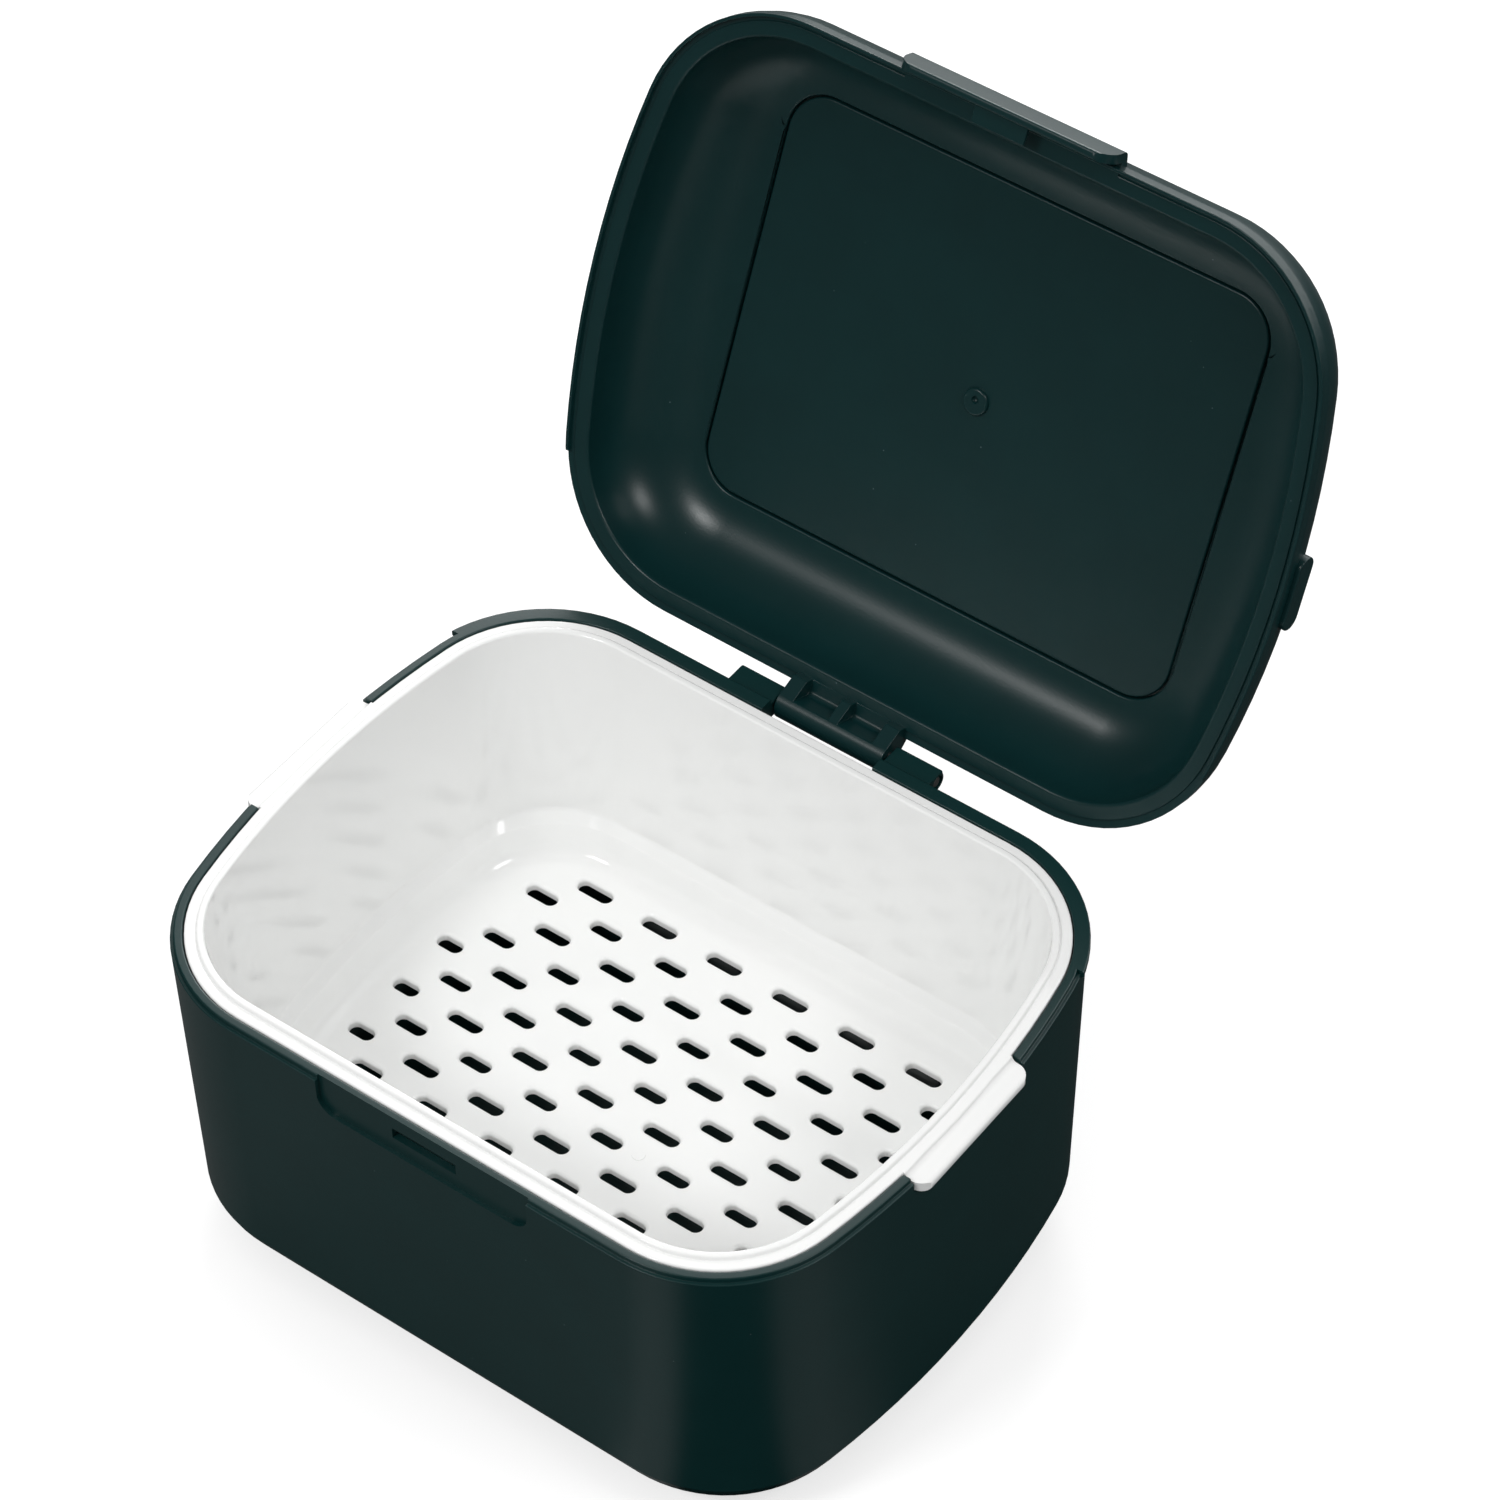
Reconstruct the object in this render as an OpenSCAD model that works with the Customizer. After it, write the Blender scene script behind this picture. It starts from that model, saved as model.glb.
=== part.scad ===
// Denture case: a box with bowed ends, a domed lid that swings on a steel pin at the
// back and snaps shut at the front, and a lift-out strainer basket that hangs in the
// box by two finger tabs. Origin at the centre of the underside, front at -Y, +Z up.
// The lid is drawn open, as far as its stop lets it swing.

/* [Outline] */
// Overall width across the bowed ends
case_w = 100; // [84:1:130]
// Overall depth from the front wall to the back rim
case_d = 79.1; // [66:0.1:100]
// Corner radius of the outline
corner_r = 19.7; // [16:0.1:24]
// Radius of the gentle bow of the two ends
end_r = 129; // [100:1:250]

/* [Box] */
// Height of the rim above the table
box_h = 49.3; // [41:0.1:70]
// Thickness of the wall and the floor
wall_t = 1.5; // [1.2:0.05:1.8]
// How far the wall leans in from the rim down to the crease
wall_lean = 0.9; // [0.3:0.1:1.2]
// Height of the crease where the wall meets the rounded foot
crease_z = 8; // [6:0.5:9]
// Radius of the rounded foot
foot_r = 12; // [10:0.2:12.8]
// Width of the rim, from the outline to the basket's pocket
rim_w = 1.95; // [1.8:0.05:2.3]
// How far the back rim stands out from the wall as a bead
bead_w = 0.4; // [0.3:0.05:0.5]
// Height of the straight face of that bead
bead_h = 0.8; // [0.5:0.1:1.5]
// Inset of the raised inner part of the rim on the front and the ends
step_in = 0.86; // [0.8:0.02:1]
// Depth of the ledge outside that raised part
step_h = 0.65; // [0.5:0.05:0.9]
// Where the ledge ends and the full bead starts, from the back of the outline
step_end_in = 13.65; // [11:0.05:20]

/* [Lid] */
// Height of the dome above the lid's rim
lid_h = 12.95; // [10.5:0.05:18]
// Radius of the dome's rounded edge
dome_r = 12.9; // [10:0.1:13]
// Width of the lid's rim face
lid_rim_w = 3; // [2.6:0.1:3.4]
// Thickness of the lid's top
lid_t = 2.1; // [1.8:0.05:2.6]
// Radius of the cove round the hollow
cove_r = 10.2; // [8.5:0.1:10.6]
// Width of the thin lip that hangs from the lid's outer edge
lip_w = 0.45; // [0.35:0.05:0.5]
// How far that lip hangs below the lid's rim face
lip_h = 0.6; // [0.4:0.05:0.65]
// Gap between the end of the lip and the start of the box's bead
lip_end_gap = 0.4; // [0.2:0.1:1]
// Gap between the closed lid and the box rim
seam_gap = 0.15; // [0.1:0.05:0.3]
// How far the lid opens
open_angle = 114; // [80:1:118]

/* [Lid panel] */
// Inset of the plate's two ends from the outline
panel_side_in = 15.6; // [15:0.1:22]
// Inset of the plate's front edge from the outline
panel_front_in = 12.15; // [12:0.05:18]
// Inset of the plate's back edge from the outline
panel_back_in = 13.35; // [12:0.05:18]
// Corner radius of the plate
panel_r = 5.5; // [4:0.5:8]
// Thickness of the plate
panel_t = 1; // [0.8:0.1:1.1]
// Open groove all round the plate
panel_gap = 0.3; // [0.2:0.05:0.5]
// Diameter of the raised disc at the middle of the plate
disc_d = 3.5; // [2.5:0.1:6]
// Height of that disc
disc_h = 0.5; // [0.3:0.1:1]

/* [Front latch] */
// Width of the lid's front tab
tab_w = 30; // [20:0.5:36]
// Thickness of the tab
tab_t = 1.6; // [1.4:0.1:2]
// How far the tab stands out from the outline
tab_out = 1.95; // [1.9:0.05:2.4]
// How far the tab reaches below the lid's rim face
tab_drop = 3.45; // [3:0.05:3.9]
// Radius of the tab's two lower corners
tab_r = 2.6; // [1:0.1:3]
// Width of the snap tooth behind the tab
tooth_w = 7.4; // [4:0.2:10]
// Height of the snap tooth
tooth_h = 0.75; // [0.6:0.05:0.9]
// How far the tooth reaches into the slot
tooth_bite = 0.35; // [0.2:0.05:0.5]
// Clearance of the shallow recess behind the tab, at each end of the tab
recess_side = 0.4; // [0.3:0.1:1]
// How far that recess reaches below the tab
recess_below = 2.6; // [1.8:0.1:4]
// Depth of the recess in the wall
recess_t = 0.7; // [0.4:0.05:0.75]
// Clearance of the tooth's slot at each end of the tooth
slot_side = 0.95; // [0.4:0.05:1.5]
// Clearance of that slot above and below the tooth
slot_over = 0.475; // [0.3:0.025:0.6]

/* [Hinge] */
// Distance of the pin behind the outline
pin_back = 2.15; // [2.1:0.05:2.6]
// Distance of the pin below the rim
pin_down = 1.9; // [1.8:0.05:2.2]
// Diameter of the steel pin
pin_d = 1.6; // [1.2:0.1:2]
// Clearance of the pin in the knuckle, on radius
pin_clear = 0.05; // [0.03:0.01:0.1]
// Width of the lid's knuckle
knuckle_w = 16; // [12:0.5:20]
// Radius of the knuckle's round bar
knuckle_r = 2.1; // [1.6:0.05:2.15]
// Gap on each side of the knuckle
knuckle_gap = 0.3; // [0.2:0.05:0.5]
// Width of each of the box's two lugs
lug_w = 6.8; // [4:0.2:8]
// Radius of the lugs round the pin
lug_r = 1.4; // [1.2:0.05:1.5]
// Clearance between the knuckle's arm and the basket's flange
knuckle_front = 0.75; // [0.4:0.05:0.9]
// Width of the knuckle's ribs at its two ends
rib_end = 2.1; // [1.5:0.1:2.6]
// Width of the rib at its middle
rib_mid = 1.4; // [1:0.1:2]

/* [Basket] */
// Gap between the basket's flange and the box
basket_gap = 0.15; // [0.1:0.05:0.3]
// Thickness of the basket's walls and floor
basket_t = 1.2; // [1:0.1:1.4]
// Thickness of the flange at the rim
flange_t = 1.6; // [1.2:0.1:2]
// Width of the raised inner lip on the flange
bead_in_w = 0.9; // [0.7:0.1:1.2]
// Height of that lip
bead_in_h = 0.45; // [0.3:0.05:0.6]
// Inset of the basket's inside at its top, from the outline
mouth_in = 4.5; // [4.3:0.1:5]
// Inset of the inside just above the ridge
neck_in = 7.6; // [6.5:0.1:8.4]
// Inset of the ridge round the sunken floor
ridge_in = 8.9; // [8.6:0.1:10]
// Inset of the flat part of the floor
floor_in = 12.1; // [11.5:0.1:13]
// Height of the floor's top face
floor_z = 16.1; // [12:0.1:24]
// Height of the ridge above the floor
ridge_h = 4; // [3:0.1:6]
// Corner radius of the flat part of the floor
floor_r = 12.7; // [9:0.1:15]
// Length of the two finger tabs along the ends
finger_w = 21.2; // [16:0.2:30]
// How far the finger tabs stand out from the outline
finger_out = 0.6; // [0.3:0.1:2]
// Thickness of the finger tabs
finger_t = 1.4; // [1.2:0.1:2]
// Depth of the finger tabs' top below the rim
finger_down = 0.7; // [0.7:0.05:1]
// Gap at each end of a finger tab in its notch
finger_gap = 0.25; // [0.15:0.05:0.5]

/* [Drain slots] */
// Distance between slots along a row
slot_pitch = 10.16; // [9:0.02:12]
// Distance between rows
row_pitch = 4.38; // [4:0.02:5.5]
// Width of a slot
drain_w = 1.9; // [1.4:0.1:2.2]
// Length of a slot in the odd rows
drain_long = 5.1; // [4:0.1:6.4]
// Length of a slot in the even rows
drain_short = 4.5; // [3.6:0.1:6]
// Length of the short slots at the ends of the three middle rows
drain_end = 3.6; // [2.6:0.1:4]
// Offset of the whole pattern towards the back
drain_back = 0.75; // [0:0.05:1]
// Width of floor kept clear between the slots and the floor's edge
drain_margin = 1.1; // [0.5:0.1:2]

/* [Side pads] */
// Length of the small pad on each end of the lid
pad_w = 9.6; // [6:0.2:14]
// Height of the pad
pad_h = 3.2; // [2:0.1:4]
// How far the pad stands out from the outline
pad_out = 0.55; // [0.3:0.05:1]
// Height of the pad's middle above the lid's rim face
pad_z = 2.8; // [2.2:0.1:4]

/* [Hidden] */
$fn = 64;

box_color = "#1c3032";
lid_color = "#182a2c";
basket_color = "#eef0ee";
pin_color = "#9a9c9c";

half_w = case_w / 2;
half_d = case_d / 2;

overlap = 1;
// bevel on small edges
edge = 0.3;
arc_steps = 10;
end_steps = 8;

// foot: inset of the arc's centre, and the arc's angle at the crease
crease_in = bead_w + wall_lean;
crease_angle = asin((foot_r - crease_z) / foot_r);
foot_in = crease_in + foot_r * cos(crease_angle);
ledge_z = box_h - step_h;

// lid, drawn closed and then swung open about the pin
lid_z = box_h + seam_gap;
step_end_y = half_d - step_end_in;
lip_end_y = step_end_y - lip_end_gap;
ceiling_z = lid_z + lid_h - lid_t;
pin_y = half_d + pin_back;
pin_z = box_h - pin_down;
lug_x = knuckle_w / 2 + knuckle_gap;

// front latch
wall_front = half_d - bead_w;
recess_y = wall_front - recess_t;
tab_y = half_d + tab_out;
tab_z = lid_z - tab_drop;
tooth_z = tab_z;
slot_z = tooth_z - slot_over;

// basket
flange_in = rim_w + basket_gap;
mouth_r = corner_r - mouth_in;
neck_z = floor_z + ridge_h + (ridge_in - neck_in);
finger_z = box_h - finger_down - finger_t;
floor_half_w = half_w - floor_in;
floor_half_d = half_d - floor_in;
rows = 1 + floor(2 * (floor_half_d - drain_margin - drain_back - drain_w / 2) / row_pitch);

function arc(cx, cz, r, a0, a1, n = arc_steps) =
    [for (i = [0:n]) let (a = a0 + (a1 - a0) * i / n) [cx + r * cos(a), cz + r * sin(a)]];

// rounded foot of radius r round the foot's own centre, from the underside up to the crease
function foot(r) = arc(foot_in, foot_r, r, 270, 180 + crease_angle);

// corner radius of the basket's inside at a given inset, easing from mouth to floor
function basket_r(inset) =
    mouth_r + (floor_r - mouth_r) * (inset - mouth_in) / (floor_in - mouth_in);

// outline moved in by inset, with corner radius r
function outline(inset, r) =
    let (w = half_w - inset, d = half_d - inset, R = end_r - inset)
    let (cy = d - r, ex = w - R)
    let (cx = ex + sqrt(pow(R - r, 2) - pow(cy, 2)))
    let (a = atan2(cy, cx - ex))
    let (right = concat(arc(ex, 0, R, -a, a, end_steps), arc(cx, cy, r, a, 90)))
    let (front = [for (p = arc(cx, cy, r, 90, a)) [p[0], -p[1]]])
    let (half = concat(front, right))
    concat(half, [for (i = [len(half) - 1:-1:0]) [-half[i][0], half[i][1]]]);

// solid through outlines given as [inset, height, corner radius], going up
module tiers(levels) {
    film = 0.01;
    hull() for (i = [0:len(levels) - 1])
        translate([0, 0, levels[i][1] - (i > 0 ? film : 0)])
            linear_extrude(height = film)
                polygon(outline(levels[i][0], levels[i][2]));
}

// solid that fills the case outline; profile points are [inset, height], going up
module filled(profile) {
    tiers([for (p = profile) [p[0], p[1], corner_r - p[0]]]);
}

// straight-sided plate of the case outline at one inset
module plate(inset, z0, z1) {
    translate([0, 0, z0]) linear_extrude(height = z1 - z0)
        polygon(outline(inset, corner_r - inset));
}

// straight-sided ring of the case outline between two insets
module ring(inset_out, inset_in, z0, z1) {
    translate([0, 0, z0]) linear_extrude(height = z1 - z0) difference() {
        polygon(outline(inset_out, corner_r - inset_out));
        polygon(outline(inset_in, corner_r - inset_in));
    }
}

// joins the walls drawn in it into one skin, at the size they have
module one_skin() {
    resize([0, 0, 0]) children();
}

// block in front of a given y, wide enough to cut any part of the case
module in_front_of(y) {
    translate([-case_w, -2 * case_d, 0])
        cube([2 * case_w, 2 * case_d + y, 4 * box_h]);
}

// block behind a given y
module behind(y) {
    translate([-case_w, y, 0])
        cube([2 * case_w, 2 * case_d, 4 * box_h]);
}

// plate in the XZ plane, its back face at y and its front face at y - t, with two
// rounded lower corners
module apron(w, z0, z1, r, y, t) {
    translate([0, y, 0]) rotate([90, 0, 0]) linear_extrude(height = t) {
        translate([-w / 2, z0 + r]) square([w, z1 - z0 - r]);
        translate([-w / 2 + r, z0]) square([w - 2 * r, z1 - z0]);
        for (side = [-1, 1]) translate([side * (w / 2 - r), z0 + r]) circle(r);
    }
}

// bar along X with the given YZ section
module bar_x(w, section) {
    rotate([90, 0, 90])
        linear_extrude(height = w, center = true)
            polygon(section);
}

// round bar along X on the hinge axis
module on_axis(r, w) {
    translate([0, pin_y, pin_z]) rotate([0, 90, 0])
        cylinder(r = r, h = w, center = true);
}

// one hinge lug, its inner face at x = lug_x
module lug() {
    back_y = pin_y + 0.85 * lug_r;
    root_y = half_d - rim_w / 2;
    translate([lug_x + lug_w / 2, 0, 0]) {
        on_axis(lug_r, lug_w);
        bar_x(lug_w, [
            [root_y, pin_z - lug_r],
            [pin_y, pin_z - lug_r],
            [back_y, pin_z],
            [back_y, ledge_z - edge],
            [back_y - edge, ledge_z],
            [root_y, ledge_z]
        ]);
    }
}

// the box's walls, with everything that is cut into them
module box_walls() {
    // the bead's lower slope starts inside the wall
    bead_in = 1.5 * bead_w;
    bead = [[bead_in, box_h - bead_h - bead_in], [0, box_h - bead_h],
        [0, box_h + overlap]];
    difference() {
        union() {
            filled(concat(foot(foot_r), [[bead_w, ledge_z]]));
            plate(step_in, ledge_z - overlap, box_h + overlap);
            intersection() {
                filled(bead);
                behind(step_end_y);
            }
        }
        filled(concat(foot(foot_r - wall_t), [[rim_w, box_h], [rim_w, box_h + overlap]]));
        // one flat rim on top of the step and the bead
        translate([-case_w, -case_d, box_h])
            cube([2 * case_w, 2 * case_d, 2 * overlap]);
        // notch in the back wall for the lid's knuckle
        translate([-lug_x, half_d - 2 * rim_w, pin_z - knuckle_r - 2 * knuckle_gap])
            cube([2 * lug_x, 3 * rim_w, box_h]);
        // notches in the two ends for the finger tabs
        translate([-case_w, -finger_w / 2 - finger_gap, finger_z])
            cube([2 * case_w, finger_w + 2 * finger_gap, box_h]);
        // shallow recess behind the front tab, open at the rim
        apron(tab_w + 2 * recess_side, tab_z - recess_below, box_h + tab_r,
            tab_r, -recess_y, overlap + recess_t);
        // slot for the snap tooth
        translate([-tooth_w / 2 - slot_side, -half_d - overlap, slot_z])
            cube([tooth_w + 2 * slot_side, 2 * overlap + rim_w, tooth_h + 2 * slot_over]);
    }
}

module box_shell() {
    color(box_color) difference() {
        union() {
            one_skin() box_walls();
            for (side = [0, 1]) mirror([side, 0, 0]) lug();
        }
        // bores of the two lugs
        on_axis(pin_d / 2, 2 * (lug_x + lug_w) + overlap);
    }
}

// the lid's walls as they lie when shut, with the tab, the pads and the panel's pocket
module lid_walls() {
    // both roundings stay within the height they turn in
    dome = min(dome_r, lid_h - 0.05);
    cove = min(cove_r, lid_h - lid_t - 0.4);
    hollow = concat([[lid_rim_w, lid_z - overlap]],
        arc(lid_rim_w + cove, ceiling_z - cove, cove, 180, 90));
    difference() {
        union() {
            filled(concat([[0, lid_z]], arc(dome, lid_z + lid_h - dome, dome, 180, 90)));
            // thin lip outside the box's ledge
            intersection() {
                ring(0, lip_w, lid_z - lip_h, lid_z + overlap);
                in_front_of(lip_end_y);
            }
            front_tab();
            for (side = [0, 1]) mirror([side, 0, 0]) side_pad();
        }
        filled(hollow);
        translate([0, 0, ceiling_z - overlap])
            panel_plate(panel_gap, overlap + panel_t);
    }
}

// the whole lid as it lies when shut
module lid_closed() {
    difference() {
        union() {
            one_skin() lid_walls();
            knuckle();
        }
        on_axis(pin_d / 2 + pin_clear, knuckle_w + overlap);
        knuckle_pockets();
    }
}

// snap tab at the front edge, with its tooth
module front_tab() {
    inner_y = tab_y - tab_t;
    root_y = half_d - lid_rim_w / 2;
    intersection() {
        bar_x(tab_w, [
            [-tab_y, tab_z + edge],
            [-tab_y + edge, tab_z],
            [-inner_y, tab_z],
            [-inner_y, lid_z],
            [-root_y, lid_z],
            [-root_y, lid_z + tab_t],
            [-half_d, lid_z + tab_t],
            [-tab_y, lid_z + tab_t / 2]
        ]);
        apron(tab_w, tab_z, lid_z + 2 * tab_t, tab_r, 0, half_d + 2 * tab_out);
    }
    bar_x(tooth_w, [
        [-inner_y - overlap / 2, tooth_z],
        [-recess_y + tooth_bite, tooth_z + tooth_h / 2],
        [-recess_y + tooth_bite, tooth_z + tooth_h],
        [-inner_y - overlap / 2, tooth_z + tooth_h]
    ]);
}

// low pad with round ends on one end of the dome
module side_pad() {
    translate([half_w + pad_out, 0, lid_z + pad_z]) rotate([0, -90, 0]) {
        linear_extrude(height = pad_out + lid_rim_w) {
            square([pad_h, pad_w - pad_h], center = true);
            for (end = [-1, 1]) translate([0, end * (pad_w - pad_h) / 2])
                circle(pad_h / 2);
        }
    }
}

// knuckle on the lid's back edge: a round bar on the axis and an arm up to the dome
knuckle_in = half_d - flange_in + knuckle_front;
module knuckle() {
    // where the arm leaves the bar, as angles round the axis
    low = 222;
    high = 58;
    on_axis(knuckle_r, knuckle_w);
    bar_x(knuckle_w, [
        [pin_y, pin_z],
        [pin_y + knuckle_r * cos(low), pin_z + knuckle_r * sin(low)],
        [knuckle_in, pin_z + knuckle_r / 3],
        [knuckle_in, lid_z + lid_rim_w / 4],
        [half_d - 0.2, lid_z + knuckle_r * 0.8],
        [pin_y + knuckle_r * cos(high), pin_z + knuckle_r * sin(high)]
    ]);
}

// the two pockets between the knuckle's ribs
module knuckle_pockets() {
    bar_wall = 0.6;
    pocket_w = knuckle_w / 2 - rib_end - rib_mid / 2;
    pocket_y = pin_y - pin_d / 2 - bar_wall;
    for (side = [-1, 1]) translate([side * (rib_mid + pocket_w) / 2, 0, 0])
        bar_x(pocket_w, [
            [knuckle_in - overlap, pin_z - knuckle_r],
            [pocket_y, pin_z - knuckle_r],
            [pocket_y, lid_z + 0.25],
            [half_d + 0.05, lid_z + 0.5],
            [half_d + 0.05, lid_z],
            [knuckle_in - overlap, lid_z]
        ]);
}

// panel outline grown by g, t thick, upwards from z = 0
module panel_plate(g, t) {
    w = half_w - panel_side_in - panel_r;
    front = half_d - panel_front_in - panel_r;
    back = half_d - panel_back_in - panel_r;
    r = panel_r + g;
    linear_extrude(height = t) {
        translate([-w - r, -front]) square([2 * (w + r), front + back]);
        translate([-w, -front - r]) square([2 * w, front + back + 2 * r]);
        for (side = [-1, 1]) {
            translate([side * w, -front]) circle(r);
            translate([side * w, back]) circle(r);
        }
    }
}

// turns a piece drawn with the lid shut to where it is with the lid open
module swung_open() {
    translate([0, pin_y, pin_z])
        rotate([-open_angle, 0, 0])
            translate([0, -pin_y, -pin_z])
                children();
}

module lid_shell() {
    color(lid_color) swung_open() lid_closed();
}

module lid_panel() {
    dimple_r = 0.5;
    color(lid_color) swung_open() difference() {
        union() {
            translate([0, 0, ceiling_z]) panel_plate(0, panel_t);
            translate([0, 0, ceiling_z - disc_h])
                cylinder(d = disc_d, h = disc_h + panel_t / 2);
        }
        translate([0, 0, ceiling_z - disc_h]) sphere(dimple_r);
    }
}

module hinge_pin() {
    color(pin_color) on_axis(pin_d / 2, 2 * (lug_x + lug_w) - 0.2);
}

// one level of the basket's inside, pushed out by t for the outside
function level(inset, z, t) = [inset - t, z - t, basket_r(inset) + t];

module basket_body(t, top_z) {
    ridge_z = floor_z + ridge_h;
    tiers([level(neck_in, neck_z, t), [mouth_in - t, top_z, mouth_r + t]]);
    tiers([level(ridge_in, ridge_z, t), level(neck_in, neck_z, t)]);
    tiers([
        level(floor_in, floor_z, t),
        level(floor_in - 1.6, floor_z + 0.75, t),
        level(floor_in - 2.4, floor_z + 1.9, t),
        level(ridge_in, ridge_z, t)
    ]);
}

module finger_tab() {
    r = 2;
    reach = half_w + finger_out;
    root = half_w - mouth_in + bead_in_w / 2;
    translate([0, 0, finger_z]) linear_extrude(height = finger_t) {
        translate([root, -finger_w / 2]) square([reach - r - root, finger_w]);
        translate([root, -finger_w / 2 + r]) square([reach - root, finger_w - 2 * r]);
        for (side = [-1, 1]) translate([reach - r, side * (finger_w / 2 - r)]) circle(r);
    }
}

// one drain slot along X
module drain(length) {
    straight = length - drain_w;
    translate([0, 0, floor_z - 2 * basket_t]) linear_extrude(height = 4 * basket_t) {
        square([straight, drain_w], center = true);
        for (end = [-1, 1]) translate([end * straight / 2, 0]) circle(drain_w / 2);
    }
}

// half length of the flat floor at a given y, along X, or 0 beyond the floor
function floor_reach(y) =
    let (over = max(0, abs(y) - (floor_half_d - floor_r)))
    over > floor_r ? 0 : floor_half_w - floor_r + sqrt(floor_r * floor_r - over * over);

module drains() {
    for (row = [0:rows - 1]) {
        y = row_pitch * (row - (rows - 1) / 2) + drain_back;
        odd = row % 2;
        first = odd ? slot_pitch / 2 : 0;
        length = odd ? drain_long : drain_short;
        reach = floor_reach(abs(y) + drain_w / 2) - drain_margin;
        for (x = [first:slot_pitch:half_w], side = [-1, 1])
            if (x + length / 2 < reach)
                translate([side * x, y, 0]) drain(length);
        // the row's last slot is shorter where only part of one fits
        last = [for (x = [first:slot_pitch:half_w]) if (x + length / 2 >= reach) x][0];
        start = last - length / 2;
        if (odd && start + drain_end < reach)
            for (side = [-1, 1]) translate([side * (start + drain_end / 2), y, 0])
                drain(drain_end);
    }
}

module strainer_basket() {
    top_z = box_h + bead_in_h;
    color(basket_color) difference() {
        union() {
            ring(flange_in, mouth_in, box_h - flange_t, box_h);
            ring(mouth_in - bead_in_w, mouth_in, box_h - overlap / 2, top_z);
            basket_body(basket_t, box_h - flange_t / 2);
            for (side = [0, 1]) mirror([side, 0, 0]) finger_tab();
        }
        basket_body(0, top_z + overlap);
        drains();
    }
}

box_shell();
lid_shell();
lid_panel();
hinge_pin();
strainer_basket();
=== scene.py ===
import math

import bpy
from mathutils import Matrix, Vector


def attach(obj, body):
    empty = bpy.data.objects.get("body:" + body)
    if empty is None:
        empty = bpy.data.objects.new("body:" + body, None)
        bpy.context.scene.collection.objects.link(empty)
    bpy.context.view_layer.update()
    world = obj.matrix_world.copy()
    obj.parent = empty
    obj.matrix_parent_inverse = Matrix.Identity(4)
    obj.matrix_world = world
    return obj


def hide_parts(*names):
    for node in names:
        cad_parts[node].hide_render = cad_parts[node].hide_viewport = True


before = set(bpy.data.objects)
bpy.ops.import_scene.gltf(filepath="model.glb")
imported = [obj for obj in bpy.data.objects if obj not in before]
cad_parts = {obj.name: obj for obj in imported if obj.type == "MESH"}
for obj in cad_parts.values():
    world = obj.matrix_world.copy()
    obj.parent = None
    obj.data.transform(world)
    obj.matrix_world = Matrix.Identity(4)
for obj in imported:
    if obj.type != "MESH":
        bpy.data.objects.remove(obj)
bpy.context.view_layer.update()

# ---------------------------------------------------------------------------------------
# The box. One moulding in dark teal polypropylene: bowed ends, rounded foot, a stepped rim
# with a bead at the back, and two hinge lugs. The notch between the lugs takes the lid's
# knuckle, the notches in the ends the basket's tabs, and the slot in front the lid's tooth.
MM = 0.001
MERGE = 0.002 * MM  # points nearer than this become one
NEAR = 0.01  # heights nearer than this, in mm, are the same
PAST = 60.0  # well past the case
HALF_W, HALF_D = 50.0, 39.55
CORNER_R, END_R = 19.7, 129.0
END_X = HALF_W - END_R
CORNER_STEPS, END_STEPS = 16, 6
BOX_H, LEDGE_Z = 49.3, 48.65
WALL_IN, STEP_IN, INNER_IN, WALL_T = 0.4, 0.86, 1.95, 1.5
FOOT_IN, FOOT_R, CREASE = 12.614, 12.0, 199.47
FOOT_TOP, INNER_FOOT_TOP = 8.0, 8.5
BEAD_FROM = 25.9
PIN_Y, PIN_Z, PIN_R = 41.7, 47.4, 0.8
LUG_X, LUG_END, LUG_R = 8.3, 15.1, 1.4
LUG_FRONT, LUG_BACK = 38.6, 42.89
BORE_END, BORE_MOUTH_X, BORE_MOUTH_R = 16, 14.8, 1.0
FINGER_HALF, FINGER_GAP, FINGER_Z = 10.6, 0.25, 47.0
SNAP_HALF, SNAP_GAP, SNAP_R = 15, 0.4, 2.6
SLOT_HALF = 4.65


def arc(u, v, r, start, end, steps):
    """Points of an arc round (u, v), between two angles in degrees."""
    turns = [math.radians(start + (end - start) * i / steps) for i in range(steps + 1)]
    return [(u + r * math.cos(t), v + r * math.sin(t)) for t in turns]


def rounded(corners, steps=6):
    """The line through (u, v, radius) corners, with each corner rounded."""
    line = []
    for i, (u, v, r) in enumerate(corners):
        here = Vector((u, v))
        if not r:
            line.append((u, v))
            continue
        back = (Vector(corners[i - 1][:2]) - here).normalized()
        on = (Vector(corners[(i + 1) % len(corners)][:2]) - here).normalized()
        half = back.angle(on) / 2
        middle = here + (back + on).normalized() * (r / math.sin(half))
        first = here + back * (r / math.tan(half)) - middle
        last = here + on * (r / math.tan(half)) - middle
        start = math.degrees(math.atan2(first.y, first.x))
        turn = math.degrees(math.atan2(first.cross(last), first.dot(last)))
        line += arc(*middle, r, start, start + turn, steps)
    return line


def only(piece):
    """Makes the piece the one that the next operator works on."""
    bpy.ops.object.select_all(action="DESELECT")
    piece.select_set(True)
    bpy.context.view_layer.objects.active = piece


def named(name):
    """Names the primitive that was just added and applies its place and turn."""
    piece = bpy.context.object
    piece.name = piece.data.name = name
    bpy.ops.object.transform_apply(location=True, rotation=True, scale=True)
    return piece


def clear_selection(piece):
    for part in (*piece.data.polygons, *piece.data.edges, *piece.data.vertices):
        part.select = False


def start_line(name, point):
    """A piece of one vertex: a small plane merged to its middle and moved to the point."""
    bpy.ops.object.select_all(action="DESELECT")
    bpy.ops.mesh.primitive_plane_add(size=MM)
    piece = bpy.context.object
    piece.name = piece.data.name = name
    bpy.ops.object.mode_set(mode="EDIT")
    bpy.ops.mesh.merge(type="CENTER")
    bpy.ops.transform.translate(value=Vector(point) * MM)
    return piece


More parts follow.
